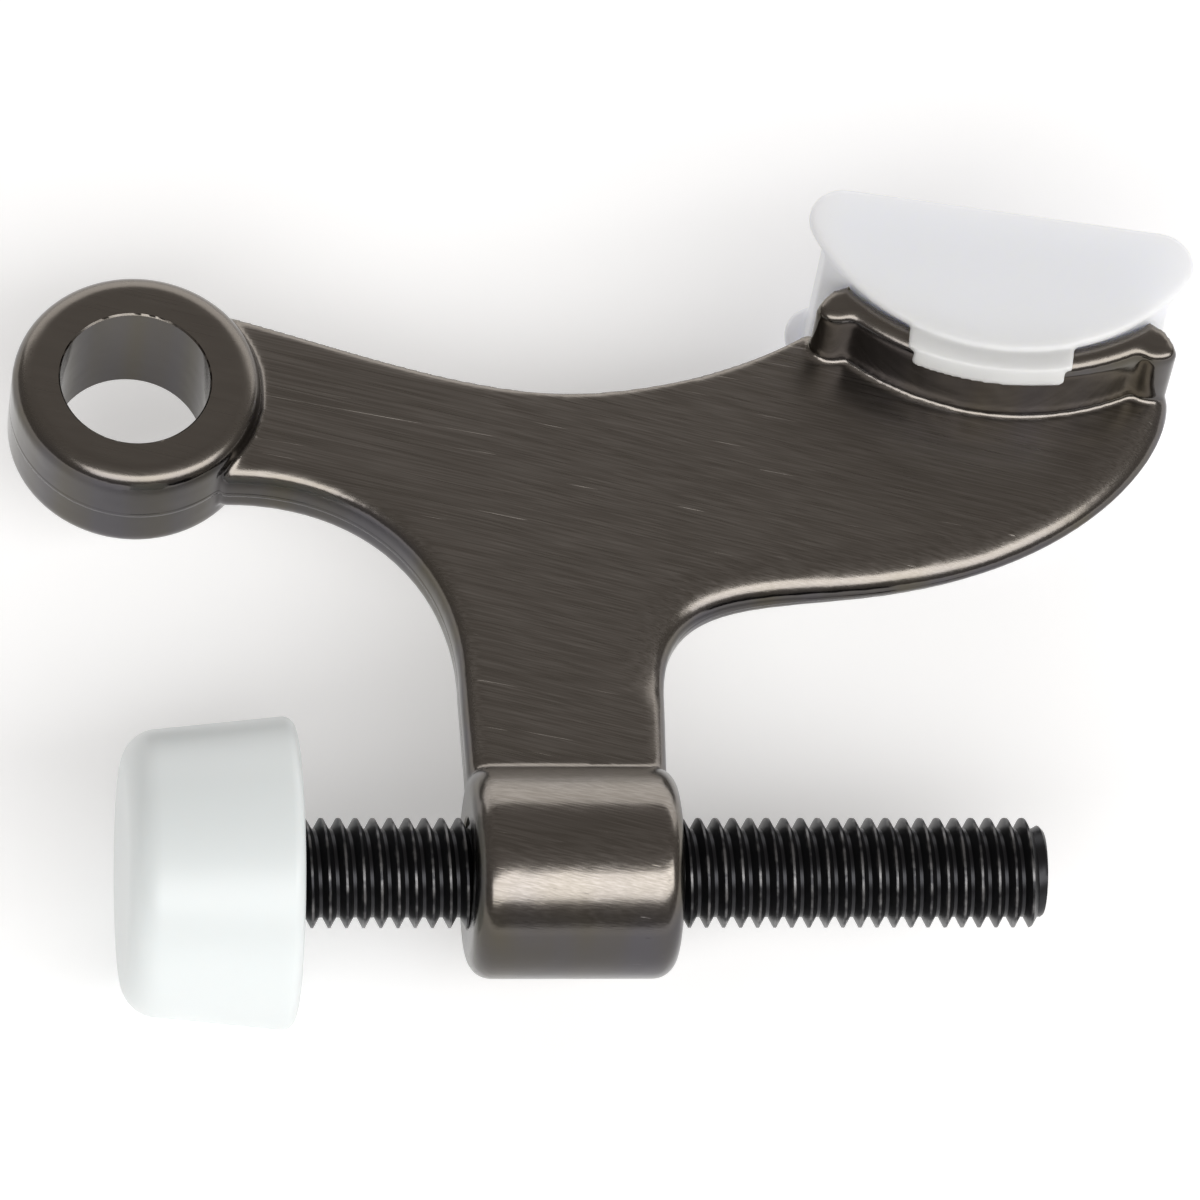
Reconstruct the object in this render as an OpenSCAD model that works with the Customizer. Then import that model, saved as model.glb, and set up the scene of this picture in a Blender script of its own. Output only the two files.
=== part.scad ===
// Hinge-pin door stop: a die-cast arm that hangs on the pin of a door hinge.
// The origin is the middle of the hinge-pin bore. +Z is up, along the hinge pin.
// +X runs along the adjusting screw, from its soft tip to its free end.
// +Y points from the screw to the pad that bears on the door casing.

/* [Ring] */
// Diameter of the hinge-pin bore
pin_bore_d = 11.1; // [9.5:0.1:12.5]
// Outer diameter of the ring
ring_d = 18.5; // [16:0.5:20]
// Height of the ring along the pin
ring_h = 9.2; // [7:0.2:12]
// Rounding of the ring's outer edges
ring_round = 1.6; // [0.5:0.1:2.2]

/* [Arm] */
// Thickness of the web beside the ring
web_thick = 5.2; // [4.6:0.1:6]
// Thickness of the web at the cradle
web_thin = 3.2; // [2.6:0.1:4.4]
// Distance of the screw axis from the pin axis
screw_offset = 39.2; // [37:0.1:42]

/* [Boss] */
// Diameter of the threaded boss
boss_d = 15.4; // [13:0.1:17]
// Where the boss begins, measured along X
boss_x = 23; // [21:0.1:24]
// Length of the boss
boss_len = 15.2; // [14:0.1:16]
// Rounding of the boss's end edges
boss_round = 1.7; // [0.5:0.1:2.5]

/* [Cradle] */
// Radius of the cradle's back face
cradle_r = 20.2; // [19.5:0.1:21]
// Thickness of the cradle wall
cradle_wall = 2.2; // [1.8:0.1:2.4]
// Height of the cradle along Z
cradle_h = 15.2; // [13:0.2:18]
// Half of the angle that the cradle spans
cradle_half_angle = 40.2; // [38:0.2:44]
// Turn of the cradle about Z
cradle_tilt = -7.7; // [-9:0.1:-6]
// Radius of the cradle's corners
cradle_corner = 1.2; // [0.5:0.1:2]
// Rounding of the wall's back edges
cradle_round = 1; // [0.3:0.1:1.2]
// How far the two end posts stand out behind the wall
post_out = 1.4; // [0.5:0.1:2]

/* [Adjusting screw] */
// Outside diameter of the thread
screw_d = 8; // [7.6:0.05:8]
// Pitch of the thread
pitch = 1.25; // [1:0.05:1.5]
// Where the free end of the screw is at rest, along X
screw_end = 65.1; // [60:0.1:68]
// Diameter of the screw's hidden head
head_d = 16; // [12:0.5:17]
// Thickness of the screw's hidden head
head_thick = 3; // [2:0.1:4]

/* [Soft tip] */
// Diameter of the tip at its open rim
tip_d = 22.7; // [20:0.1:24]
// Diameter of the tip at its closed face
tip_face_d = 20.9; // [19:0.1:22]
// Where the closed face is at rest, along X
tip_face_x = -2.1; // [-4:0.1:0]
// Length of the tip
tip_len = 12.5; // [11:0.1:14]
// Rounding of the closed face's edge
tip_round = 2.7; // [1:0.1:3.5]

/* [Pad] */
// Half of the pad's width
pad_half = 14.5; // [13:0.1:16]
// Radius of the lower edge of the pad's two plates
pad_edge_r = 16.4; // [16:0.1:17]
// Thickness of each plate
plate_thick = 1; // [0.8:0.1:1.4]
// Thickness of the bridge that crosses the cradle's edge
bridge_thick = 0.6; // [0.4:0.1:0.8]
// Width of the lip
lip_w = 12.3; // [8:0.1:16]
// How far the lip hooks down over the cradle
lip_drop = 0.8; // [0.3:0.1:1.5]
// Thickness of the lip behind the cradle
lip_thick = 0.8; // [0.5:0.1:1.2]
// Turn of the pad in the cradle, away from its middle
pad_slip = -1.3; // [-3:0.1:3]

/* [Hidden] */
$fn = 64;

casting_grey = "#4f4a46";
steel_black = "#1d1d1f";
tip_white = "#e6eaeb";
pad_milk = "#dfe2e8";

eps = 0.01;
run_gap = 0.05;            // radial clearance of the screw in the boss and the tip
bore_chamfer = 0.15;
ring_shift = [0.2, 0.18];  // the ring's outside stands this far off the bore's axis
steps = 14;                // straight pieces per curved stretch of an outline
web_full_x = 26;           // the web keeps its full thickness up to here
web_thin_x = 62;           // and is thin from here on
cradle_centre = [66.3, 19.2];
post_start = 31.5;         // angle at which an end post leaves the wall
post_full = 34.8;          // and at which it stands out in full
post_short = 0.1;          // the wall's ends and edges cover the post's by this much
thread_depth = 0.62 * pitch;
thread_start = tip_face_x + tip_len + 0.4;
screw_chamfer = 0.9;
head_x = tip_face_x + 3;   // soft material in front of the head
pad_front = -6.6;          // the bearing face, from the cradle's centre
pad_end_r = 2.7;
core_inset = 1.5;
core_end_r = 1.7;

// ---- Outline helpers -------------------------------------------------------

// Points along a circle's arc from angle a to angle b
function arc(c, r, a, b, n = steps) =
    [for (i = [0:n]) c + r * [cos(a + (b - a) * i / n), sin(a + (b - a) * i / n)]];

// Points along a cubic curve with end points a and d and handles b and c
function curve(a, b, c, d, n = steps) =
    [for (i = [0:n]) let (t = i / n, u = 1 - t)
        u * u * u * a + 3 * u * u * t * b + 3 * u * t * t * c + t * t * t * d];

// A point on the circle of radius r about the cradle's centre, at angle a from its middle
function on_cradle(r, a) =
    cradle_centre + r * [cos(cradle_tilt - 90 + a), sin(cradle_tilt - 90 + a)];

// ---- Arm casting -----------------------------------------------------------

// Outline of the web, anticlockwise from its root in the ring
module web_outline() {
    far_end = on_cradle(cradle_r + post_out, cradle_half_angle);
    mid_r = cradle_r - cradle_wall / 2;
    polygon(concat(
        curve([23.1, -24.5], [23.4, -13.8], [16.5, -7], [6.5, -7.25]),
        [[0, -6], [0, 6]],
        curve([5, 7.5], [15, 4.5], [24, 0.4], [31.5, 0.4]),
        curve([32, 0.4], [38, 0.4], [45.5, 2.6], [50.5, 5.9]),
        [for (a = [1 - cradle_half_angle:6:cradle_half_angle - 1]) on_cradle(mid_r, a)],
        curve(far_end, [77.6, -4], [70.6, -12.3], [58.3, -15]),
        curve([58.2, -15.02], [48, -17.2], [38.6, -14.6], [38.2, -24.6]),
        [[boss_x + boss_len - 0.1, -screw_offset], [boss_x + 0.1, -screw_offset]]
    ));
}

// Side view of the web, which thins towards the cradle
module web_side() {
    far = cradle_centre[0] + cradle_r;
    polygon([
        [-ring_d, -web_thick / 2], [web_full_x, -web_thick / 2],
        [web_thin_x, -web_thin / 2], [far, -web_thin / 2],
        [far, web_thin / 2], [web_thin_x, web_thin / 2],
        [web_full_x, web_thick / 2], [-ring_d, web_thick / 2]
    ]);
}

module web() {
    intersection() {
        linear_extrude(height = web_thick + 1, center = true) web_outline();
        rotate([90, 0, 0]) linear_extrude(height = 160, center = true) web_side();
    }
}

// Solid of revolution with rounded edges, standing on Z from 0 to h
module rounded_drum(r, h, round_r) {
    rotate_extrude()
        polygon(concat(
            [[0, 0]],
            arc([r - round_r, round_r], round_r, -90, 0, 5),
            arc([r - round_r, h - round_r], round_r, 0, 90, 5),
            [[0, h]]
        ));
}

// Widens the mouths of a bore of radius r and length h that stands on Z from 0 to h
module bore_mouths(r, h) {
    for (flip = [0, 1])
        translate([0, 0, flip * h]) mirror([0, 0, flip])
            translate([0, 0, -eps])
                cylinder(h = bore_chamfer + eps, r1 = r + bore_chamfer + eps, r2 = r);
}

// Turns a part that stands on Z so that it lies along X, on the screw axis
module on_screw_axis(x) {
    translate([x, -screw_offset, 0]) rotate([0, 90, 0]) children();
}

// Outline of an end post, which stands out behind the wall
module post_outline() {
    root = cradle_r - cradle_wall / 2;
    outer = cradle_r + post_out;
    end = cradle_half_angle - post_short;
    polygon([
        on_cradle(root, post_start), on_cradle(outer - 0.1, post_full),
        on_cradle(outer, end), on_cradle(root, end)
    ]);
}

// Curved wall that the pad clips over, with rounded edges and a post at each end
module cradle() {
    half_h = cradle_h / 2;
    inner = cradle_r - cradle_wall;
    intersection() {
        union() {
            translate([cradle_centre[0], cradle_centre[1], 0])
                rotate([0, 0, cradle_tilt - 90 - cradle_half_angle])
                    rotate_extrude(angle = 2 * cradle_half_angle)
                        polygon(concat(
                            [[inner, half_h], [inner, -half_h]],
                            arc([cradle_r - cradle_round, cradle_round - half_h],
                                cradle_round, -90, 0, 4),
                            arc([cradle_r - cradle_round, half_h - cradle_round],
                                cradle_round, 0, 90, 4)
                        ));
            for (flip = [0, 1])
                in_cradle_frame() mirror([flip, 0, 0]) out_of_cradle_frame()
                    linear_extrude(height = cradle_h - 2 * post_short, center = true)
                        post_outline();
        }
        cradle_corners();
    }
}

// The cradle's own frame has its origin at the cradle's centre and its middle along -Y
module in_cradle_frame() {
    translate([cradle_centre[0], cradle_centre[1], 0]) rotate([0, 0, cradle_tilt]) children();
}

module out_of_cradle_frame() {
    rotate([0, 0, -cradle_tilt]) translate([-cradle_centre[0], -cradle_centre[1], 0]) children();
}

// Prism seen from behind the cradle: a rectangle with rounded corners
module cradle_corners() {
    half = (cradle_r + post_out) * sin(cradle_half_angle);
    c = cradle_corner;
    in_cradle_frame()
        rotate([90, 0, 0])
            linear_extrude(height = cradle_r + 5)
                polygon(concat(
                    arc([half - c, cradle_h / 2 - c], c, 0, 90, 5),
                    arc([c - half, cradle_h / 2 - c], c, 90, 180, 5),
                    arc([c - half, c - cradle_h / 2], c, 180, 270, 5),
                    arc([half - c, c - cradle_h / 2], c, 270, 360, 5)
                ));
}

module arm_casting() {
    pin_r = pin_bore_d / 2;
    screw_r = screw_d / 2 + run_gap;
    color(casting_grey)
    difference() {
        union() {
            translate([ring_shift[0], ring_shift[1], -ring_h / 2])
                rounded_drum(ring_d / 2, ring_h, ring_round);
            web();
            on_screw_axis(boss_x) rounded_drum(boss_d / 2, boss_len, boss_round);
            cradle();
        }
        cylinder(h = ring_h + 2, r = pin_r, center = true);
        translate([0, 0, -ring_h / 2]) bore_mouths(pin_r, ring_h);
        on_screw_axis(boss_x - 1) cylinder(h = boss_len + 2, r = screw_r);
        on_screw_axis(boss_x) bore_mouths(screw_r, boss_len);
    }
}

// ---- Adjusting screw -------------------------------------------------------

// The thread is cut as rings at the thread's pitch, with a flat crest and a flat root
module adjusting_screw() {
    r = screw_d / 2;
    root_r = r - thread_depth;
    crest = pitch / 8;
    turns = floor((screw_end - screw_chamfer - thread_start) / pitch);
    color(steel_black)
    on_screw_axis(0)
        rotate_extrude()
            polygon(concat(
                [[0, head_x], [head_d / 2, head_x], [head_d / 2, head_x + head_thick],
                 [r, head_x + head_thick]],
                [for (i = [0:turns - 1]) let (x = thread_start + i * pitch)
                    each [[r, x], [root_r, x + pitch / 2 - crest],
                          [root_r, x + pitch / 2], [r, x + pitch - crest]]],
                [[r, screw_end - screw_chamfer], [r - screw_chamfer, screw_end], [0, screw_end]]
            ));
}

// ---- Soft tip --------------------------------------------------------------

module soft_tip() {
    r = tip_d / 2;
    face_r = tip_face_d / 2;
    rim_round = 0.9;
    open_x = tip_face_x + tip_len;
    color(tip_white)
    on_screw_axis(0)
        rotate_extrude()
            polygon(concat(
                [[0, tip_face_x]],
                arc([face_r - tip_round, tip_face_x + tip_round], tip_round, -90, 0, 6),
                arc([r - rim_round, open_x - rim_round], rim_round, 0, 90, 4),
                [[screw_d / 2 + run_gap, open_x],
                 [screw_d / 2 + run_gap, head_x + head_thick + run_gap],
                 [head_d / 2 + run_gap, head_x + head_thick + run_gap],
                 [head_d / 2 + run_gap, head_x - run_gap],
                 [0, head_x - run_gap]]
            ));
}

// ---- Casing pad ------------------------------------------------------------

// Half-moon outline of a plate: a flat front, round ends and a round lower edge
module plate_outline() {
    end_x = pad_half - pad_end_r;
    end_y = pad_front - pad_end_r;
    // The big arc touches both end arcs from inside
    big_y = end_y + sqrt(pow(pad_edge_r - pad_end_r, 2) - end_x * end_x);
    touch = atan2(big_y - end_y, end_x);
    polygon(concat(
        arc([end_x, end_y], pad_end_r, -touch, 90, 6),
        arc([-end_x, end_y], pad_end_r, 90, 180 + touch, 6),
        arc([0, big_y], pad_edge_r, 180 + touch, 360 - touch, 16)
    ));
}

// The core stands in the hollow of the cradle, between the plates
module core_outline() {
    half = pad_half - core_inset;
    end_x = half - core_end_r;
    end_y = pad_front - core_end_r;
    seat_r = cradle_r - cradle_wall - run_gap;
    seat_angle = asin(half / seat_r);
    polygon(concat(
        arc([end_x, end_y], core_end_r, 0, 90, 5),
        arc([-end_x, end_y], core_end_r, 90, 180, 5),
        arc([0, 0], seat_r, 270 - seat_angle, 270 + seat_angle, 16)
    ));
}

// A strip of the cradle's back edge, as wide as the lip
module lip_strip(r_in, r_out) {
    intersection() {
        difference() {
            circle(r = r_out);
            circle(r = r_in);
        }
        translate([-lip_w / 2, -r_out - 1]) square([lip_w, r_out]);
    }
}

// Upper half of what grips the cradle: the plate, the bridge and the lip
module plate_and_lip() {
    lip_in = cradle_r + run_gap;
    lip_out = lip_in + lip_thick;
    translate([0, 0, cradle_h / 2]) {
        linear_extrude(height = plate_thick) plate_outline();
        linear_extrude(height = bridge_thick) lip_strip(cradle_r - cradle_wall, lip_out);
        translate([0, 0, -lip_drop])
            linear_extrude(height = lip_drop + bridge_thick) lip_strip(lip_in, lip_out);
    }
}

module casing_pad() {
    color(pad_milk)
    translate([cradle_centre[0], cradle_centre[1], 0])
        rotate([0, 0, cradle_tilt + pad_slip]) {
            plate_and_lip();
            mirror([0, 0, 1]) plate_and_lip();
            linear_extrude(height = cradle_h, center = true) core_outline();
        }
}

arm_casting();
adjusting_screw();
soft_tip();
casing_pad();
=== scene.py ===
"""Hinge-pin door stop: a cast arm, an adjusting screw with a soft tip, and a casing pad.

Every mesh is built in millimetres in the frame of the CAD model and scaled to metres at the end.
The origin is the middle of the hinge-pin bore, +Z runs along the pin and +X along the screw.
"""

import enum
import logging
import math
from dataclasses import dataclass, field

import bmesh
import bpy
from mathutils import Matrix, Vector
from mathutils.geometry import interpolate_bezier
from mathutils.kdtree import KDTree


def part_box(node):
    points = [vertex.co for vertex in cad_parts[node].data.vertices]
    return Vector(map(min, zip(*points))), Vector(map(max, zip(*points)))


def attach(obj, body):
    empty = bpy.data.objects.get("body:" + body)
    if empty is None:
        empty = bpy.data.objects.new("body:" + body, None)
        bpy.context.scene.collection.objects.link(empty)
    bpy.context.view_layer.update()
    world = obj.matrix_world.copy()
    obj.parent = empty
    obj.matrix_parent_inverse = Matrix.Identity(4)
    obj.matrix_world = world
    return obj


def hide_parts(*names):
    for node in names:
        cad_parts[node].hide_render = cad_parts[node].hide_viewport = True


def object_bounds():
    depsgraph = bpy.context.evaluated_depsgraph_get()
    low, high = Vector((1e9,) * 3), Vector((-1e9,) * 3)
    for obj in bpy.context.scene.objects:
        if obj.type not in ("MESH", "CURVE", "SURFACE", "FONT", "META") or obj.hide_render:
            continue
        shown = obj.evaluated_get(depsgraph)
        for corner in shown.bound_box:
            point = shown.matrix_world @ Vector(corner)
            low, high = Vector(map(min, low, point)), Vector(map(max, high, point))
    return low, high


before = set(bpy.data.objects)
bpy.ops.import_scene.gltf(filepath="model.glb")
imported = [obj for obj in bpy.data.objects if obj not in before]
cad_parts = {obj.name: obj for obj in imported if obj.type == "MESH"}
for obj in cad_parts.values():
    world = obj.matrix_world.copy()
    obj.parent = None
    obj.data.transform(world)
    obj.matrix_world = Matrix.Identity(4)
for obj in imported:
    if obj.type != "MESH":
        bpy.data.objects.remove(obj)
CAD_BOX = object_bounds()

LOG = logging.getLogger("door_stop")
MM = 0.001
FULL_TURN = 2 * math.pi


# ---- Colour and node helpers ---------------------------------------------------------------


def linear(hex_colour: str) -> tuple[float, float, float, float]:
    """Turn an sRGB hex colour into the linear colour that a shader takes.

    Args:
        hex_colour: Six hex digits after a hash.

    Returns:
        Red, green, blue and an alpha of one.
    """
    channels = [int(hex_colour[i : i + 2], 16) / 255 for i in (1, 3, 5)]
    curved = [c / 12.92 if c <= 0.04045 else ((c + 0.055) / 1.055) ** 2.4 for c in channels]
    return (*curved, 1.0)


def add(tree: bpy.types.NodeTree, kind: str, settings: dict | None = None, **links) -> bpy.types.Node:
    """Add one node, with its settings, its socket values and its incoming links.

    Args:
        tree: The node tree to add to.
        kind: The node's type, such as ShaderNodeTexNoise.
        settings: Attributes of the node, such as operation.
        links: Socket name, with spaces as underscores, or in_N for socket number N,
            to either a value or an output socket.

    Returns:
        The new node.
    """
    node = tree.nodes.new(kind)
    for key, value in (settings or {}).items():
        setattr(node, key, value)
    for key, value in links.items():
        index = int(key[3:]) if key.startswith("in_") else key.replace("_", " ")
        socket = node.inputs[index]
        if isinstance(value, bpy.types.NodeSocket):
            tree.links.new(value, socket)
        else:
            socket.default_value = value
    return node


def ramp(tree: bpy.types.NodeTree, factor: bpy.types.NodeSocket, stops: list) -> bpy.types.NodeSocket:
    """Map a factor to a colour through a ramp, and return the colour socket."""
    node = add(tree, "ShaderNodeValToRGB", in_0=factor)
    elements = node.color_ramp.elements
    while len(elements) < len(stops):
        elements.new(0.5)
    for element, (position, colour) in zip(elements, stops):
        element.position = position
        element.color = colour
    return node.outputs[0]


# ---- Mesh helpers --------------------------------------------------------------------------


def arc(centre: tuple[float, float], radius: float, start: float, end: float, steps: int) -> list[Vector]:
    """Points along a circle's arc in the XY plane, with both ends, angles in degrees."""
    turn = [math.radians(start + (end - start) * i / steps) for i in range(steps + 1)]
    return [Vector((centre[0] + radius * math.cos(a), centre[1] + radius * math.sin(a), 0)) for a in turn]


def curve(a: tuple, b: tuple, c: tuple, d: tuple, steps: int = 24) -> list[Vector]:
    """Points along a cubic curve in the XY plane, with ends a and d and handles b and c."""
    knots = [Vector((*p, 0)) for p in (a, b, c, d)]
    return interpolate_bezier(*knots, steps)


def wire(bm: bmesh.types.BMesh, points: list[Vector], closed: bool) -> list:
    """Add vertices at the points and an edge between each and the next.

    Args:
        bm: The mesh to add to.
        points: The corners of the line.
        closed: Whether the last point joins the first.

    Returns:
        The new vertices and edges.
    """
    verts = [bm.verts.new(p) for p in points]
    pairs = list(zip(verts, verts[1:] + verts[:1]))
    edges = [bm.edges.new(pair) for pair in (pairs if closed else pairs[:-1])]
    return verts + edges


def prism(points: list[Vector], low: float, high: float) -> bmesh.types.BMesh:
    """Stand an outline in the XY plane up into a closed prism between two heights."""
    bm = bmesh.new()
    loop = wire(bm, points, closed=True)
    made = bmesh.ops.contextual_create(bm, geom=loop)
    bmesh.ops.translate(bm, verts=bm.verts, vec=(0, 0, low))
    grown = bmesh.ops.extrude_face_region(bm, geom=made["faces"])
    moved = [g for g in grown["geom"] if isinstance(g, bmesh.types.BMVert)]
    bmesh.ops.translate(bm, verts=moved, vec=(0, 0, high - low))
    bmesh.ops.recalc_face_normals(bm, faces=bm.faces)
    return bm


def turned(points: list[tuple[float, float]], steps: int) -> bmesh.types.BMesh:
    """Spin a closed profile of (radius, height) points about the Z axis into a closed shell."""
    bm = bmesh.new()
    loop = wire(bm, [Vector((r, 0, z)) for r, z in points], closed=points[0][0] > 0)
    bmesh.ops.spin(bm, geom=loop, cent=(0, 0, 0), axis=(0, 0, 1), angle=FULL_TURN, steps=steps, use_merge=True)
    bmesh.ops.remove_doubles(bm, verts=bm.verts, dist=1e-4)
    bmesh.ops.recalc_face_normals(bm, faces=bm.faces)
    return bm


def round_over(bm: bmesh.types.BMesh, edges: list, width: float, segments: int = 3, clamp: bool = True) -> None:
    """Round edges over with a circular bevel.

    Args:
        bm: The mesh that holds the edges.
        edges: The edges to round.
        width: Width of the rounding.
        segments: Steps in the rounding.
        clamp: Whether to hold every rounding to the smallest one that fits.
    """
    bmesh.ops.bevel(
        bm,
        geom=edges,
        offset=width,
        offset_type="OFFSET",
        segments=segments,
        profile=0.5,
        affect="EDGES",
        material=-1,
        clamp_overlap=clamp,
    )


def joined(shells: list[bmesh.types.BMesh]) -> bmesh.types.BMesh:
    """Gather several shells into one mesh and free them."""
    whole = bmesh.new()
    for shell in shells:
        passing = bpy.data.meshes.new("passing")
        shell.to_mesh(passing)
        shell.free()
        whole.from_mesh(passing)
        bpy.data.meshes.remove(passing)
    return whole


def to_piece(name: str, bm: bmesh.types.BMesh) -> bpy.types.Object:
    """Make a bmesh an object of the scene, still in millimetres, and free the bmesh."""
    mesh = bpy.data.meshes.new(name)
    bm.to_mesh(mesh)
    bm.free()
    piece = bpy.data.objects.new(name, mesh)
    bpy.context.scene.collection.objects.link(piece)
    return piece


def cast_in_one(piece: bpy.types.Object, voxel: float, passes: int) -> None:
    """Fuse a piece's overlapping shells into one skin, with small fillets where they meet.

    Args:
        piece: The object, in millimetres.
        voxel: Size of the grid that the skin is drawn on, in millimetres.
        passes: How many times the skin is smoothed, which sets the fillets' size.
    """
    remesh = piece.modifiers.new("fuse", "REMESH")
    remesh.mode = "VOXEL"
    remesh.voxel_size = voxel
    soften = piece.modifiers.new("soften", "SMOOTH")
    soften.factor = 0.5
    soften.iterations = passes
    apply_modifiers(piece)


def cut(piece: bpy.types.Object, cutter: bmesh.types.BMesh) -> None:
    """Cut a cutter's volume out of a piece, exactly, so that a drilled bore stays round and crisp."""
    tool = to_piece("cutter", cutter)
    boolean = piece.modifiers.new("drill", "BOOLEAN")
    boolean.operation = "DIFFERENCE"
    boolean.solver = "EXACT"
    boolean.object = tool
    apply_modifiers(piece)
    shape = tool.data
    bpy.data.objects.remove(tool)
    bpy.data.meshes.remove(shape)


def apply_modifiers(piece: bpy.types.Object) -> None:
    """Replace a piece's mesh by what its modifiers make of it."""
    graph = bpy.context.evaluated_depsgraph_get()
    made = bpy.data.meshes.new_from_object(piece.evaluated_get(graph))
    rough = piece.data
    piece.modifiers.clear()
    piece.data = made
    bpy.data.meshes.remove(rough)


def deliver(piece: bpy.types.Object, body: str, node: str, material: bpy.types.Material) -> None:
    """Scale a finished piece to metres, dress it and hand it to the frame.

    Args:
        piece: The object, in millimetres.
        body: The CAD body that it rides on.
        node: The CAD node that it stands for.
        material: Its finish.
    """
    piece.data.transform(Matrix.Scale(MM, 4))
    piece.data.shade_smooth()
    piece.data.materials.clear()
    piece.data.materials.append(material)
    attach(piece, body)
    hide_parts(node)
    triangles = sum(len(p.vertices) - 2 for p in piece.data.polygons)
    LOG.info("%s rides on %s for %s, %d triangles", piece.name, body, node, triangles)


# ---- Finishes ------------------------------------------------------------------------------


@dataclass(frozen=True)
class BrushedBlackNickel:
    """Zinc die casting in black nickel plating, brushed on the flats and polished elsewhere.

    The plating is a dark, slightly brown mirror. The brushing spreads reflections across the strokes on
    the flats and the boss, and leaves single bright scratches. Walls and fillets keep the plating's gloss.
    """

    # cool and olive colour the walls and fillets darker than the flats: partly the unbrushed plating, partly painted
    # shade and painted reflection.
    cool: str = "#585659"
    olive: str = "#59554d"
    brushed: str = "#7e7871"
    worn: str = "#96908a"
    polish_roughness: float = 0.12
    brush_roughness: float = 0.29
    # Real strokes are about 0.05 mm wide; they are drawn over twice as wide so that they show.
    stroke_width_mm: float = 0.12
    stroke_length_mm: float = 8.0
    stroke_angle: float = -15.0
    scratch_width_mm: float = 0.25
    scratch_length_mm: float = 14.0
    dimple_mm: float = 2.5
    tone_mm: float = 4.0
    parting_mm: float = 0.12

    def build(self, web_half: float, boss_top: float, ring_flat: float) -> bpy.types.Material:
        """Return the node material.

        Args:
            web_half: Half of the web's thickness, in millimetres.
            boss_top: The boss's furthest reach towards the web along Y, in millimetres.
            ring_flat: Radius at which the ring's flat top breaks into its rounding, in millimetres.

        Returns:
            The material.
        """
        material = bpy.data.materials.new("brushed_black_nickel")
        material.use_nodes = True
        tree = material.node_tree
        shader = tree.nodes["Principled BSDF"]
        place = add(tree, "ShaderNodeTexCoord").outputs["Object"]
        spot = add(tree, "ShaderNodeSeparateXYZ", Vector=place).outputs
        depth = add(tree, "ShaderNodeMath", {"operation": "ABSOLUTE"}, in_0=spot["Z"]).outputs[0]
        normal = add(tree, "ShaderNodeNewGeometry").outputs["Normal"]
        upward = add(tree, "ShaderNodeSeparateXYZ", Vector=normal).outputs["Z"]
        level = add(tree, "ShaderNodeMath", {"operation": "ABSOLUTE"}, in_0=upward).outputs[0]

        def noise(size_mm: tuple[float, float, float], turn: float, detail: float) -> bpy.types.NodeSocket:
            """Noise whose grains have the given sizes along X, Y and Z, turned about Z in degrees."""
            scale = tuple(1 / (mm * MM) for mm in size_mm)
            laid = add(tree, "ShaderNodeMapping", Vector=place, Rotation=(0, 0, math.radians(turn))).outputs[0]
            drawn = add(tree, "ShaderNodeVectorMath", {"operation": "MULTIPLY"}, in_0=laid, in_1=scale).outputs[0]
            return add(tree, "ShaderNodeTexNoise", Vector=drawn, Scale=1.0, Detail=detail).outputs[0]

        def between(value: bpy.types.NodeSocket, low: float, high: float) -> bpy.types.NodeSocket:
            """Zero up to low, one from high, and a straight rise between them."""
            return add(tree, "ShaderNodeMapRange", Value=value, From_Min=low, From_Max=high).outputs[0]

        def combine(operation: str, one: bpy.types.NodeSocket, other: object) -> bpy.types.NodeSocket:
            """Combine two values, held between zero and one."""
            return add(tree, "ShaderNodeMath", {"operation": operation, "use_clamp": True}, in_0=one, in_1=other).outputs[0]

        on_web = between(depth, (web_half + 0.35) * MM, (web_half + 0.15) * MM)
        on_boss = between(spot["Y"], (boss_top + 1.0) * MM, boss_top * MM)
        facing = between(level, 0.4, 0.95)
        flat = combine("MAXIMUM", combine("MULTIPLY", facing, on_web), on_boss)
        across = add(tree, "ShaderNodeVectorMath", {"operation": "MULTIPLY"}, in_0=place, in_1=(1, 1, 0)).outputs[0]
        radius = add(tree, "ShaderNodeVectorMath", {"operation": "LENGTH"}, in_0=across).outputs["Value"]

        stroke = (self.stroke_length_mm, self.stroke_width_mm, self.stroke_width_mm)
        fine = noise(stroke, -self.stroke_angle, 3.0)
        scratches = noise((self.scratch_length_mm, *[self.scratch_width_mm] * 2), -self.stroke_angle - 3, 1.0)
        scratch = combine("MULTIPLY", between(scratches, 0.73, 0.8), flat)
        # The tone runs in upright streaks on the walls: partly random plating tone, partly painted reflection stripes.
        tone = noise((self.tone_mm, self.tone_mm, 10 * self.tone_mm), 0, 1.0)
        wall_tone_shade_and_reflection = ramp(tree, tone, [(0.35, linear(self.cool)), (0.65, linear(self.olive))])
        wear = combine("MAXIMUM", combine("MULTIPLY", between(fine, 0.38, 0.78), flat), scratch)
        rubbed = ramp(tree, wear, [(0.0, linear(self.brushed)), (1.0, linear(self.worn))])
        # Walls and fillets take the darker colour and faces that look up or down take the lighter one: partly the
        # brushed finish, partly painted shade on the walls.
        colour = add(tree, "ShaderNodeMix", {"data_type": "RGBA"}, in_0=facing, in_6=wall_tone_shade_and_reflection, in_7=rubbed).outputs[2]
        tree.links.new(colour, shader.inputs["Base Color"])
        shader.inputs["Metallic"].default_value = 1.0

        rubbing = combine("SUBTRACT", combine("MAXIMUM", facing, flat), combine("MULTIPLY", on_boss, 0.5))
        gloss = add(tree, "ShaderNodeMapRange", Value=rubbing, To_Min=self.polish_roughness, To_Max=self.brush_roughness)
        uneven = add(tree, "ShaderNodeMapRange", Value=fine, To_Min=0.8, To_Max=1.25).outputs[0]
        tree.links.new(combine("MULTIPLY", gloss.outputs[0], uneven), shader.inputs["Roughness"])

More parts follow.
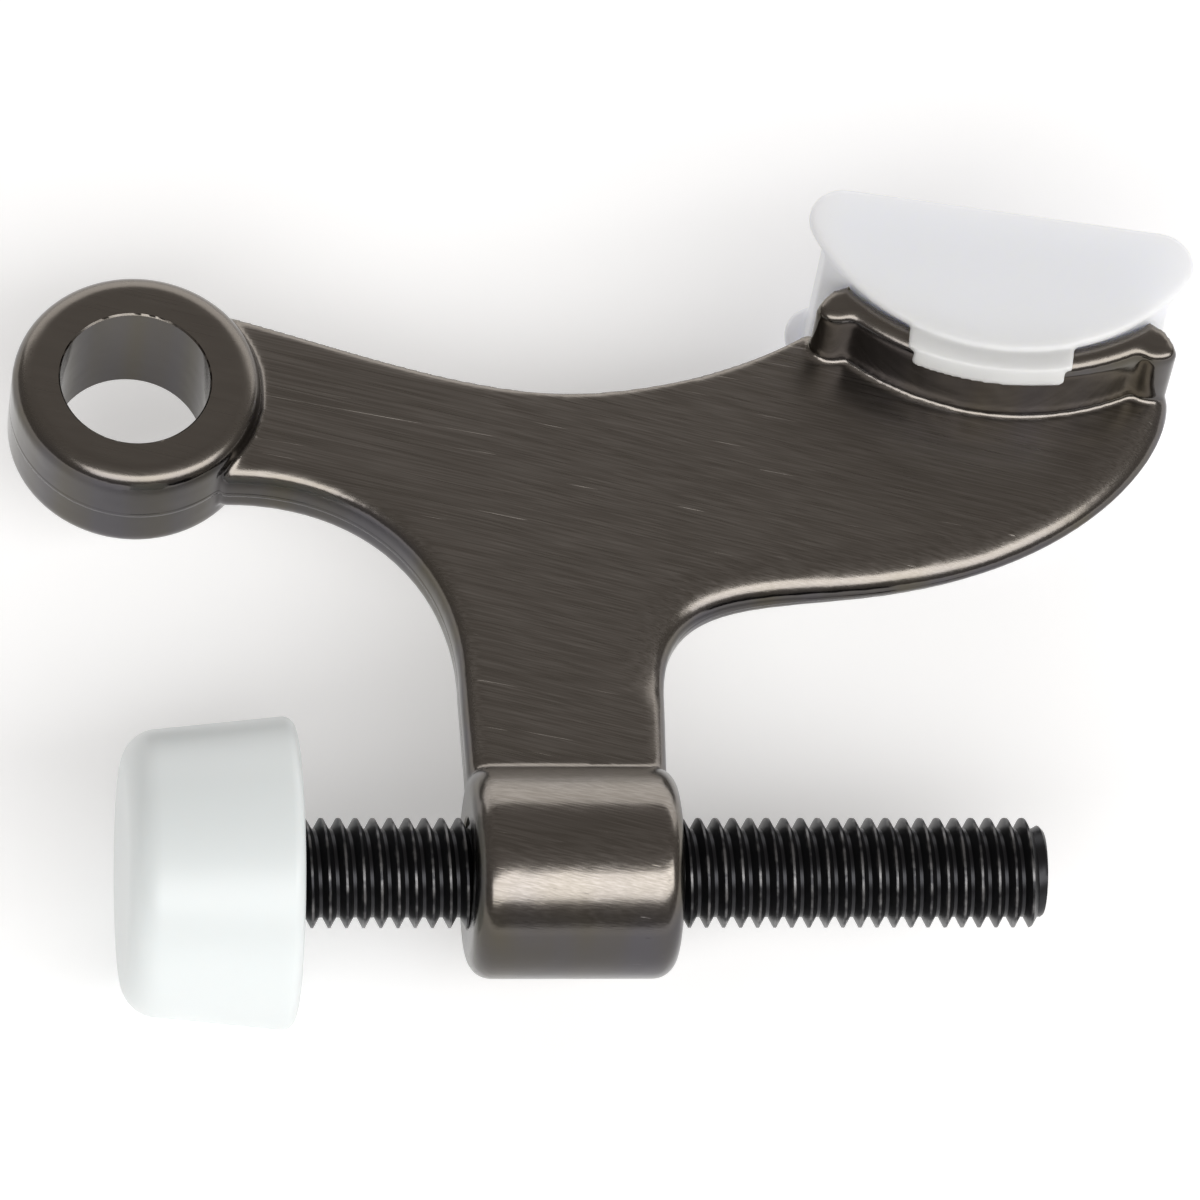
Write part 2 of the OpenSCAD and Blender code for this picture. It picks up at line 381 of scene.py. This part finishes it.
        dimples = noise((self.dimple_mm,) * 3, 0, 1.0)
        cast = add(tree, "ShaderNodeBump", Strength=0.4, Distance=0.1 * MM, Height=dimples).outputs[0]
        upright = combine("MULTIPLY", between(level, 0.5, 0.2), between(radius, 6.0 * MM, 6.5 * MM))
        line = between(depth, 2 * self.parting_mm * MM, self.parting_mm * MM)
        parting = combine("SUBTRACT", combine("MULTIPLY", line, upright), on_boss)
        shoulder = between(radius, (ring_flat - 0.2) * MM, (ring_flat - 0.1) * MM)
        seams = combine("SUBTRACT", parting, combine("MULTIPLY", shoulder, between(level, 0.6, 0.9)))
        seamed = add(tree, "ShaderNodeBump", Strength=0.6, Distance=0.08 * MM, Height=seams, Normal=cast).outputs[0]
        grooved = combine("MULTIPLY", fine, flat)
        brushing = add(tree, "ShaderNodeBump", Strength=0.25, Distance=0.02 * MM, Height=grooved, Normal=seamed)
        cut_in = add(tree, "ShaderNodeBump", {"invert": True}, Strength=0.5, Distance=0.02 * MM, Height=scratch)
        tree.links.new(brushing.outputs[0], cut_in.inputs["Normal"])
        tree.links.new(cut_in.outputs[0], shader.inputs["Normal"])
        return material


@dataclass(frozen=True)
class BlackOxideSteel:
    """Rolled steel thread in black oxide with a film of oil: near black, with bright worn crests."""

    oxide: str = "#303032"
    crest: str = "#6d6c6c"
    roughness: float = 0.34

    def build(self, axis_y: float, crest_r: float, root_r: float) -> bpy.types.Material:
        """Return the node material.

        Args:
            axis_y: Height of the screw's axis along Y, in metres.
            crest_r: Radius of the thread's crests, in metres.
            root_r: Radius of the thread's roots, in metres.

        Returns:
            The material.
        """
        material = bpy.data.materials.new("black_oxide_steel")
        material.use_nodes = True
        tree = material.node_tree
        shader = tree.nodes["Principled BSDF"]
        place = add(tree, "ShaderNodeTexCoord").outputs["Object"]
        centred = add(tree, "ShaderNodeMapping", Vector=place, Location=(0, -axis_y, 0), Scale=(0, 1, 1)).outputs[0]
        radius = add(tree, "ShaderNodeVectorMath", {"operation": "LENGTH"}, in_0=centred).outputs["Value"]
        height = add(tree, "ShaderNodeMapRange", Value=radius, From_Min=root_r, From_Max=crest_r).outputs[0]
        patchy = add(tree, "ShaderNodeTexNoise", Vector=place, Scale=900.0, Detail=4.0).outputs[0]
        worn = add(tree, "ShaderNodeMath", {"operation": "MULTIPLY"}, in_0=height, in_1=patchy).outputs[0]
        colour = ramp(tree, worn, [(0.42, linear(self.oxide)), (0.62, linear(self.crest))])
        tree.links.new(colour, shader.inputs["Base Color"])
        shader.inputs["Metallic"].default_value = 0.85
        shader.inputs["Roughness"].default_value = self.roughness
        bump = add(tree, "ShaderNodeBump", Strength=0.3, Distance=0.01 * MM, Height=patchy).outputs[0]
        tree.links.new(bump, shader.inputs["Normal"])
        return material


@dataclass(frozen=True)
class WhiteRubber:
    """Moulded white thermoplastic rubber, semi-gloss, a little cold, with light reaching just below its skin."""

    colour: str = "#e3e8e8"
    roughness: float = 0.34

    def build(self) -> bpy.types.Material:
        """Return the node material."""
        material = bpy.data.materials.new("white_rubber")
        material.use_nodes = True
        tree = material.node_tree
        shader = tree.nodes["Principled BSDF"]
        place = add(tree, "ShaderNodeTexCoord").outputs["Object"]
        ripple = add(tree, "ShaderNodeTexNoise", Vector=place, Scale=260.0, Detail=2.0).outputs[0]
        shader.inputs["Base Color"].default_value = linear(self.colour)
        shader.inputs["Roughness"].default_value = self.roughness
        shader.inputs["Subsurface Weight"].default_value = 0.35
        shader.inputs["Subsurface Radius"].default_value = (1.0, 0.9, 0.85)
        shader.inputs["Subsurface Scale"].default_value = 0.8 * MM
        bump = add(tree, "ShaderNodeBump", Strength=0.15, Distance=0.1 * MM, Height=ripple).outputs[0]
        tree.links.new(bump, shader.inputs["Normal"])
        return material


@dataclass(frozen=True)
class MilkyVinyl:
    """Soft unfilled PVC, moulded: milky, satin, with light spreading a few millimetres inside it."""

    colour: str = "#f0f2fc"
    roughness: float = 0.3

    def build(self) -> bpy.types.Material:
        """Return the node material."""
        material = bpy.data.materials.new("milky_vinyl")
        material.use_nodes = True
        tree = material.node_tree
        shader = tree.nodes["Principled BSDF"]
        place = add(tree, "ShaderNodeTexCoord").outputs["Object"]
        ripple = add(tree, "ShaderNodeTexNoise", Vector=place, Scale=320.0, Detail=2.0).outputs[0]
        shader.inputs["Base Color"].default_value = linear(self.colour)
        shader.inputs["Roughness"].default_value = self.roughness
        shader.inputs["Subsurface Weight"].default_value = 0.9
        shader.inputs["Subsurface Radius"].default_value = (1.0, 1.0, 1.1)
        shader.inputs["Subsurface Scale"].default_value = 2.5 * MM
        bump = add(tree, "ShaderNodeBump", Strength=0.12, Distance=0.08 * MM, Height=ripple).outputs[0]
        tree.links.new(bump, shader.inputs["Normal"])
        return material


# ---- Sub-assemblies ------------------------------------------------------------------------


@dataclass
class ArmCasting:
    """The die-cast arm: ring, web, threaded boss and the curved cradle wall, in one piece."""

    ring_r: float = 9.25
    ring_h: float = 9.2
    ring_round: float = 1.6
    ring_shift: tuple[float, float] = (0.2, 0.18)
    bore_r: float = 5.55
    mouth: float = 0.12
    web_thick: float = 5.2
    web_thin: float = 3.2
    web_full_x: float = 26.0
    web_thin_x: float = 62.0
    crisp_edge: float = 0.35
    soft_edge: float = 1.5
    roll_width: float = 3.8
    roll_drop: float = 0.55
    boss_r: float = 7.7
    boss_x: float = 23.0
    boss_len: float = 15.2
    boss_round: float = 1.7
    boss_bore_r: float = 4.05
    cradle_centre: tuple[float, float] = (66.3, 19.2)
    cradle_r: float = 20.2
    cradle_wall: float = 2.2
    cradle_h: float = 15.2
    cradle_round: float = 1.0
    wall_end_round: float = 1.05
    cradle_half_angle: float = 40.2
    cradle_tilt: float = -7.7
    post_out: float = 1.4
    post_round: float = 0.9
    post_rim_round: float = 0.85
    post_start: float = 31.5
    post_full: float = 34.8
    voxel: float = 0.27
    passes: int = 3

    def on_cradle(self, radius: float, angle: float) -> Vector:
        """The point at a radius from the cradle's centre, at an angle from its middle, in degrees."""
        turn = math.radians(self.cradle_tilt - 90 + angle)
        x, y = self.cradle_centre
        return Vector((x + radius * math.cos(turn), y + radius * math.sin(turn), 0))

    def drum(self, r: float, h: float, rounding: float, bore: float, off: tuple[float, float] = (0, 0)) -> list:
        """The closed shells of a bored drum: an outer one with rounded edges, and a bore to cut from it.

        Args:
            r: Outer radius.
            h: Height, from 0.
            rounding: Radius of the outer edges.
            bore: Radius of the bore.
            off: How far the outside stands off the bore's axis.

        Returns:
            The drum's shell and the cutter's shell.
        """
        low = [(r - rounding + rounding * math.sin(a), rounding - rounding * math.cos(a)) for a in quarter(10)]
        high = [(x, h - z) for x, z in reversed(low)]
        outer = turned([(0, 0), *low, *high, (0, h)], 160)
        bmesh.ops.translate(outer, verts=outer.verts, vec=(*off, 0))
        wide = bore + self.mouth
        past = [(0, -1), (wide, -1), (wide, 0), (bore, self.mouth), (bore, h - self.mouth), (wide, h), (wide, h + 1)]
        return [outer, turned([*past, (0, h + 1)], 160)]

    def ring(self) -> list[bmesh.types.BMesh]:
        """The ring that drops over the hinge pin, and its bore."""
        shells = self.drum(self.ring_r, self.ring_h, self.ring_round, self.bore_r, self.ring_shift)
        for bm in shells:
            bmesh.ops.translate(bm, verts=bm.verts, vec=(0, 0, -self.ring_h / 2))
        return shells

    def boss(self, axis_y: float) -> list[bmesh.types.BMesh]:
        """The barrel that the screw runs through, lying along X, and its bore."""
        shells = self.drum(self.boss_r, self.boss_len, self.boss_round, self.boss_bore_r)
        for bm in shells:
            bmesh.ops.rotate(bm, verts=bm.verts, cent=(0, 0, 0), matrix=Matrix.Rotation(math.pi / 2, 3, "Y"))
            bmesh.ops.translate(bm, verts=bm.verts, vec=(self.boss_x, axis_y, 0))
        return shells

    def belly(self) -> list[Vector]:
        """The web's lower edge, from the end of the cradle round to the leg."""
        far = self.on_cradle(self.cradle_r + self.post_out - 0.1, self.cradle_half_angle - 0.2).to_2d()
        sweep = curve(tuple(far), (77.6, -4.0), (70.6, -12.3), (58.3, -15.0))
        return sweep + curve((57.5, -15.15), (48.0, -17.2), (38.6, -14.6), (38.2, -24.6))

    def roll_off(self, piece: bpy.types.Object) -> None:
        """Let the web's faces fall away gently towards the belly, as polishing leaves them."""
        line = self.belly()
        tree = KDTree(len(line) * 8)
        for i, (a, b) in enumerate(zip(line, line[1:])):
            for k in range(8):
                tree.insert(a.lerp(b, k / 8), i * 8 + k)
        tree.balance()
        span = self.web_thin_x - self.web_full_x
        foot = self.cradle_r + self.post_out + 0.3
        for vert in piece.data.vertices:
            x, y, z = vert.co
            share = min(max((x - self.web_full_x) / span, 0), 1)
            half = self.web_thick / 2 * (1 + share * (self.web_thin / self.web_thick - 1))
            if x < 30 or y < -30 or abs(z) > half + 0.1:
                continue
            near = tree.find(Vector((x, y, 0)))[2]
            clear = (Vector((x, y)) - Vector(self.cradle_centre)).length - foot
            weight = min(max(clear / 1.5, 0), 1) * min(max((y + 30) / 6, 0), 1)
            fall = max(1 - near / self.roll_width, 0) ** 2 * self.roll_drop * weight
            vert.co.z = z * (1 - fall / half)

    def web_outline(self, axis_y: float) -> list[Vector]:
        """The web's outline, anticlockwise from the leg, with its roots inside the ring and the boss."""
        middle = self.cradle_r - self.cradle_wall / 2
        inside = [self.cradle_half_angle * (i / 6 - 1) * 0.97 for i in range(13)]
        root_y = axis_y + (self.boss_bore_r + self.boss_r) / 2
        return [
            *curve((23.1, -24.5), (23.4, -13.8), (16.5, -7.0), (6.5, -7.25)),
            Vector((5.6, -4.5, 0)),
            Vector((6.9, 0.0, 0)),
            Vector((5.6, 4.5, 0)),
            *curve((6.0, 7.2), (15.0, 4.5), (24.0, 0.4), (31.5, 0.4)),
            *curve((32.0, 0.4), (38.0, 0.4), (45.5, 2.6), (50.5, 5.9)),
            *[self.on_cradle(middle, a) for a in inside],
            *self.belly(),
            Vector((self.boss_x + self.boss_len - 0.3, root_y, 0)),
            Vector((self.boss_x + 0.3, root_y, 0)),
        ]

    def web(self, axis_y: float) -> bmesh.types.BMesh:
        """The flat web, which thins towards the cradle: crisp along its upper edge, soft along the others."""
        half = self.web_thick / 2
        bm = prism(self.web_outline(axis_y), -half, half)
        for x in (self.web_full_x, self.web_thin_x):
            everything = list(bm.verts) + list(bm.edges) + list(bm.faces)
            bmesh.ops.bisect_plane(bm, geom=everything, plane_co=(x, 0, 0), plane_no=(1, 0, 0))
        span = self.web_thin_x - self.web_full_x
        for vert in bm.verts:
            share = min(max((vert.co.x - self.web_full_x) / span, 0), 1)
            vert.co.z *= 1 + share * (self.web_thin / self.web_thick - 1)
        for width, soft in ((self.crisp_edge, False), (self.soft_edge, True)):
            rims = [e for e in bm.edges if is_rim(e) and (middle_of(e).y < self.edge_split(middle_of(e).x)) == soft]
            round_over(bm, rims, width, 4, clamp=False)
        return bm

    def edge_split(self, x: float) -> float:
        """Height in Y, at x, that parts the web's upper edge from its lower ones."""
        return -3.0 if x < 60.0 else 20.0

    def cradle(self) -> list[bmesh.types.BMesh]:
        """The curved wall that the pad clips over, with a post at each end."""
        inner = self.cradle_r - self.cradle_wall
        low, high = (self.cradle_tilt - 90 + s * self.cradle_half_angle for s in (-1, 1))
        outline = arc(self.cradle_centre, self.cradle_r, low, high, 48) + arc(self.cradle_centre, inner, high, low, 48)
        wall = prism(outline, -self.cradle_h / 2, self.cradle_h / 2)
        ends = [e for e in wall.edges if not is_rim(e) and e.calc_face_angle() > 1.0]
        round_over(wall, ends, self.wall_end_round, 6, clamp=False)
        rims = [e for e in wall.edges if is_rim(e, 1.2)]
        round_over(wall, rims, self.cradle_round, 5, clamp=False)
        shells = [wall]
        for side in (-1, 1):
            root = self.cradle_r - self.cradle_wall / 2
            outer = self.cradle_r + self.post_out
            corners = [
                self.on_cradle(root, side * (self.post_start + 1)),
                self.on_cradle(self.cradle_r - 0.4, side * self.post_start),
                self.on_cradle(outer - 0.1, side * self.post_full),
                self.on_cradle(outer, side * (self.cradle_half_angle - 0.1)),
                self.on_cradle(root, side * (self.cradle_half_angle - 0.1)),
            ]
            post = prism(corners, -self.cradle_h / 2 + 0.05, self.cradle_h / 2 - 0.05)
            upright = [e for e in post.edges if not is_rim(e) and self.reach(e) > self.cradle_r + 0.5]
            round_over(post, upright, self.post_round, 6, clamp=False)
            edges = [e for e in post.edges if is_rim(e, 1.2) and self.reach(e) > self.cradle_r - 0.2]
            round_over(post, edges, self.post_rim_round, 5, clamp=False)
            shells.append(post)
        return shells

    def reach(self, edge: bmesh.types.BMEdge) -> float:
        """Distance of an edge's middle from the cradle's centre."""
        return (middle_of(edge).to_2d() - Vector(self.cradle_centre)).length

    def build(self, finish: BrushedBlackNickel) -> None:
        """Build, fuse and dress the casting."""
        low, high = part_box("adjusting_screw")
        axis_y = (low.y + high.y) / 2 / MM
        ring, pin_bore = self.ring()
        boss, screw_bore = self.boss(axis_y)
        piece = to_piece("cast_arm", joined([ring, self.web(axis_y), boss, *self.cradle()]))
        cast_in_one(piece, self.voxel, self.passes)
        self.roll_off(piece)
        cut(piece, joined([pin_bore, screw_bore]))
        material = finish.build(self.web_thick / 2, axis_y + self.boss_r, self.ring_r - self.ring_round)
        deliver(piece, "arm", "arm_casting", material)
        piece.data.set_sharp_from_angle(angle=math.radians(40))


def quarter(steps: int = 6) -> list[float]:
    """Angles from 0 to 90 degrees, in radians, with both ends."""
    return [math.pi / 2 * i / steps for i in range(steps + 1)]


def middle_of(edge: bmesh.types.BMEdge) -> Vector:
    """The middle point of an edge."""
    return (edge.verts[0].co + edge.verts[1].co) / 2


def is_rim(edge: bmesh.types.BMEdge, sharpness: float = 0.8) -> bool:
    """Whether an edge lies along the rim of a flat top or underside, and not upright."""
    level = abs(edge.verts[0].co.z - edge.verts[1].co.z) < 0.3
    return level and len(edge.link_faces) == 2 and edge.calc_face_angle() > sharpness


@dataclass
class AdjustingScrew:
    """The threaded screw, with its head hidden in the soft tip."""

    pitch: float = 1.25
    depth: float = 0.775
    crest_flat: float = 0.16
    root_flat: float = 0.24
    chamfer: float = 0.9
    head_r: float = 8.0
    head_x: float = 0.9
    head_thick: float = 3.0
    thread_x: float = 9.0
    steps: int = 48

    def thread(self, r: float, end: float) -> bmesh.types.BMesh:
        """A right-handed thread about the X axis, from inside the tip to the free end."""
        root = r - self.depth
        flank = (self.pitch - self.crest_flat - self.root_flat) / 2
        profile = [
            (0.0, root),
            (self.root_flat, root),
            (self.root_flat + flank, r),
            (self.root_flat + flank + self.crest_flat, r),
            (self.pitch, root),
        ]
        turns = math.ceil((end - self.thread_x) / self.pitch) + 2
        bm = bmesh.new()
        start = self.thread_x - self.pitch
        line = wire(bm, [Vector((start + x, y, 0)) for x, y in profile], closed=False)
        bmesh.ops.spin(
            bm,
            geom=line,
            cent=(0, 0, 0),
            axis=(1, 0, 0),
            dvec=(self.pitch / self.steps, 0, 0),
            angle=FULL_TURN * turns,
            steps=self.steps * turns,
            use_merge=False,
        )
        bmesh.ops.remove_doubles(bm, verts=bm.verts, dist=1e-3)
        for x, side in ((self.thread_x, -1), (end, 1)):
            everything = list(bm.verts) + list(bm.edges) + list(bm.faces)
            bmesh.ops.bisect_plane(
                bm, geom=everything, plane_co=(x, 0, 0), plane_no=(side, 0, 0), clear_outer=True
            )
        bmesh.ops.holes_fill(bm, edges=[e for e in bm.edges if e.is_boundary])
        for vert in bm.verts:
            allowed = r - self.chamfer + (end - vert.co.x)
            reach = math.hypot(vert.co.y, vert.co.z)
            if reach > allowed:
                vert.co.yz = Vector((vert.co.y, vert.co.z)) * (allowed / reach)
        bmesh.ops.recalc_face_normals(bm, faces=bm.faces)
        return bm

    def head(self, r: float) -> bmesh.types.BMesh:
        """The flat head and the plain shank behind it."""
        back = self.head_x + self.head_thick
        profile = [(0, self.head_x), (self.head_r, self.head_x), (self.head_r, back), (r, back), (r, self.thread_x + 0.2), (0, self.thread_x + 0.2)]
        bm = turned(profile, 64)
        bmesh.ops.rotate(bm, verts=bm.verts, cent=(0, 0, 0), matrix=Matrix.Rotation(math.pi / 2, 3, "Y"))
        return bm

    def build(self, finish: BlackOxideSteel) -> None:
        """Build and dress the screw where the CAD screw lies."""
        low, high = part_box("adjusting_screw")
        thread_low, thread_high = (low.y + high.y) / 2, high.x
        r = 4.0
        bm = joined([self.thread(r, thread_high / MM), self.head(r)])
        bmesh.ops.translate(bm, verts=bm.verts, vec=(0, thread_low / MM, 0))
        piece = to_piece("threaded_screw", bm)
        material = finish.build(thread_low, r * MM, (r - self.depth) * MM)
        deliver(piece, "screw", "adjusting_screw", material)
        piece.data.set_sharp_from_angle(angle=math.radians(35))


@dataclass
class SoftTip:
    """The white tip that covers the screw's head and meets the door."""

    rim_round: float = 0.9
    face_round: float = 2.7
    face_r: float = 10.45
    bore_r: float = 4.05
    pocket_r: float = 8.05
    pocket: tuple[float, float] = (0.85, 3.95)

    def build(self, finish: WhiteRubber) -> None:
        """Build and dress the tip where the CAD tip lies."""
        low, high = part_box("soft_tip")
        face, rim = low.x / MM, high.x / MM
        r = (high.z - low.z) / 2 / MM
        axis_y = (low.y + high.y) / 2 / MM
        a = self.face_round
        b = self.rim_round
        profile = [
            (0, face),
            *[(self.face_r - a + a * math.sin(t), face + a - a * math.cos(t)) for t in quarter(12)],
            *[(r - b + b * math.cos(t), rim - b + b * math.sin(t)) for t in quarter(8)],
            (self.bore_r, rim),
            (self.bore_r, self.pocket[1]),
            (self.pocket_r, self.pocket[1]),
            (self.pocket_r, self.pocket[0]),
            (0, self.pocket[0]),
        ]
        bm = turned(profile, 128)
        bmesh.ops.rotate(bm, verts=bm.verts, cent=(0, 0, 0), matrix=Matrix.Rotation(math.pi / 2, 3, "Y"))
        bmesh.ops.translate(bm, verts=bm.verts, vec=(0, axis_y, 0))
        piece = to_piece("white_tip", bm)
        deliver(piece, "tip", "soft_tip", finish.build())
        piece.data.set_sharp_from_angle(angle=math.radians(40))


@dataclass
class CasingPad:
    """The milky pad that snaps over the cradle wall."""

    centre: tuple[float, float] = (66.3, 19.2)
    turn: float = -9.0
    half: float = 14.5
    edge_r: float = 16.4
    front: float = -6.6
    end_r: float = 2.7
    plate: float = 1.0
    core_inset: float = 1.5
    core_end_r: float = 1.7
    cradle_r: float = 20.2
    cradle_wall: float = 2.2
    cradle_h: float = 15.2
    bridge: float = 0.6
    lip_w: float = 12.3
    lip_drop: float = 0.8
    lip_thick: float = 0.8
    gap: float = 0.05
    voxel: float = 0.18
    passes: int = 3

    def plate_outline(self) -> list[Vector]:
        """Half-moon outline of a plate."""
        end_x, end_y = self.half - self.end_r, self.front - self.end_r
        big_y = end_y + math.sqrt((self.edge_r - self.end_r) ** 2 - end_x**2)
        touch = math.degrees(math.atan2(big_y - end_y, end_x))
        return [
            *arc((end_x, end_y), self.end_r, -touch, 90, 10),
            *arc((-end_x, end_y), self.end_r, 90, 180 + touch, 10),
            *arc((0, big_y), self.edge_r, 180 + touch, 360 - touch, 40)[1:-1],
        ]

    def core_outline(self) -> list[Vector]:
        """Outline of the core that fills the hollow of the cradle."""
        half = self.half - self.core_inset
        end_x, end_y = half - self.core_end_r, self.front - self.core_end_r
        seat = self.cradle_r - self.cradle_wall - self.gap
        reach = math.degrees(math.asin(half / seat))
        return [
            *arc((end_x, end_y), self.core_end_r, 0, 90, 8),
            *arc((-end_x, end_y), self.core_end_r, 90, 180, 8),
            *arc((0, 0), seat, 270 - reach, 270 + reach, 40),
        ]

    def strip_outline(self, inner: float, outer: float, width: float) -> list[Vector]:
        """A strip along the cradle's back edge, of the given width."""
        a, b = (math.degrees(math.asin(width / 2 / r)) for r in (outer, inner))
        return arc((0, 0), outer, 270 - a, 270 + a, 20) + arc((0, 0), inner, 270 + b, 270 - b, 20)

    def build(self, finish: MilkyVinyl) -> None:
        """Build, fuse and dress the pad."""
        top = self.cradle_h / 2
        lip_in, lip_out = self.cradle_r + self.gap, self.cradle_r + self.gap + self.lip_thick
        shells = []
        for side in (1, -1):
            plate = prism(self.plate_outline(), top, top + self.plate)
            round_over(plate, [e for e in plate.edges if e.calc_face_angle(0) > 0.8], 0.35, 3)
            seat = self.cradle_r - self.cradle_wall - 1
            bridge = prism(self.strip_outline(seat, lip_in + 0.1, self.lip_w), top, top + self.bridge)
            lip = prism(self.strip_outline(lip_in, lip_out, self.lip_w - 0.9), top - self.lip_drop, top + self.bridge)
            for vert in lip.verts:
                if vert.co.z > top and vert.co.to_2d().length > lip_out - 0.05:
                    vert.co.xy *= (lip_out - self.lip_thick * 0.85) / lip_out
            round_over(lip, [e for e in lip.edges if not is_rim(e) and e.calc_face_angle(0) > 1.0], 0.35, 3)
            low_rim = [e for e in lip.edges if is_rim(e) and middle_of(e).z < top and middle_of(e).to_2d().length > lip_out - 0.2]
            round_over(lip, low_rim, 0.22, 3, clamp=False)
            for bm in (plate, bridge, lip):
                bmesh.ops.scale(bm, verts=bm.verts, vec=(1, 1, side))
                bmesh.ops.recalc_face_normals(bm, faces=bm.faces)
                shells.append(bm)
        shells.append(prism(self.core_outline(), -top, top))
        bm = joined(shells)
        bmesh.ops.rotate(bm, verts=bm.verts, cent=(0, 0, 0), matrix=Matrix.Rotation(math.radians(self.turn), 3, "Z"))
        bmesh.ops.translate(bm, verts=bm.verts, vec=(*self.centre, 0))
        piece = to_piece("milky_pad", bm)
        cast_in_one(piece, self.voxel, self.passes)
        deliver(piece, "arm", "casing_pad", finish.build())


# ---- Studio --------------------------------------------------------------------------------


@dataclass
class Studio:
    """Pale floor, soft lights and the camera."""

    azimuth: float = -12.80
    elevation: float = 58.68
    roll: float = 11.12
    lens_mm: float = 315.0
    distance: float = 0.7778
    aim: tuple[float, float] = (34.7, -14.0)

    def camera(self) -> None:
        """Place the camera above the web, looking down along the screw's side."""
        a, e, roll = (math.radians(v) for v in (self.azimuth, self.elevation, self.roll))
        back = Vector((math.sin(a) * math.cos(e), -math.cos(a) * math.cos(e), math.sin(e)))
        level = Vector((math.cos(a), math.sin(a), 0))
        rise = back.cross(level)
        right = level * math.cos(roll) + rise * math.sin(roll)
        up = rise * math.cos(roll) - level * math.sin(roll)
        turn = Matrix((right, up, back)).transposed().to_4x4()
        data = bpy.data.cameras.new("camera")
        data.sensor_width = 36.0
        data.lens = self.lens_mm
        data.clip_start, data.clip_end = 0.01, 20.0
        camera = bpy.data.objects.new("camera", data)
        place = right * self.aim[0] * MM + up * self.aim[1] * MM + back * self.distance
        camera.matrix_world = Matrix.Translation(place) @ turn
        bpy.context.scene.collection.objects.link(camera)
        bpy.context.scene.camera = camera

    def floor(self, height: float) -> None:
        """A wide pale floor just under the lowest piece."""
        bm = bmesh.new()
        bmesh.ops.create_grid(bm, x_segments=1, y_segments=1, size=3.0)
        bmesh.ops.translate(bm, verts=bm.verts, vec=(0, 0, height))
        floor = to_piece("floor", bm)
        material = bpy.data.materials.new("pale_paper")
        material.use_nodes = True
        shader = material.node_tree.nodes["Principled BSDF"]
        shader.inputs["Base Color"].default_value = linear("#f7f7f7")
        shader.inputs["Roughness"].default_value = 0.9
        shader.inputs["Emission Color"].default_value = linear("#ffffff")
        shader.inputs["Emission Strength"].default_value = 0.28
        floor.data.materials.append(material)

    def softbox(self, name: str, azimuth: float, elevation: float, distance: float, size: tuple, watts: float) -> None:
        """Hang a rectangular soft light that faces the arm's middle."""
        a, e = math.radians(azimuth), math.radians(elevation)
        back = Vector((math.sin(a) * math.cos(e), -math.cos(a) * math.cos(e), math.sin(e)))
        data = bpy.data.lights.new(name, "AREA")
        data.shape = "RECTANGLE"
        data.size, data.size_y = size
        data.energy = watts
        light = bpy.data.objects.new(name, data)
        light.location = Vector((0.035, -0.015, 0)) + back * distance
        light.rotation_mode = "QUATERNION"
        light.rotation_quaternion = (-back).to_track_quat("-Z", "Y")
        bpy.context.scene.collection.objects.link(light)

    def build(self, lowest: float) -> None:
        """Build the whole set."""
        self.camera()
        self.floor(lowest - 0.0004)
        world = bpy.data.worlds.new("world")
        bpy.context.scene.world = world
        world.use_nodes = True
        world.node_tree.nodes["Background"].inputs["Color"].default_value = linear("#8a8683")
        world.node_tree.nodes["Background"].inputs["Strength"].default_value = 0.9
        self.softbox("front_box", 14, 45, 0.9, (1.8, 0.48), 10)
        self.softbox("back_box", 170, 20, 0.9, (2.2, 0.6), 5)
        bpy.context.scene.view_settings.view_transform = "Standard"


def main() -> None:
    """Build every sub-assembly, then the studio."""
    logging.basicConfig(level=logging.INFO, format="%(name)s: %(message)s")
    ArmCasting().build(BrushedBlackNickel())
    AdjustingScrew().build(BlackOxideSteel())
    SoftTip().build(WhiteRubber())
    CasingPad().build(MilkyVinyl())
    Studio().build(CAD_BOX[0].z)


if __name__ == "__main__":
    main()
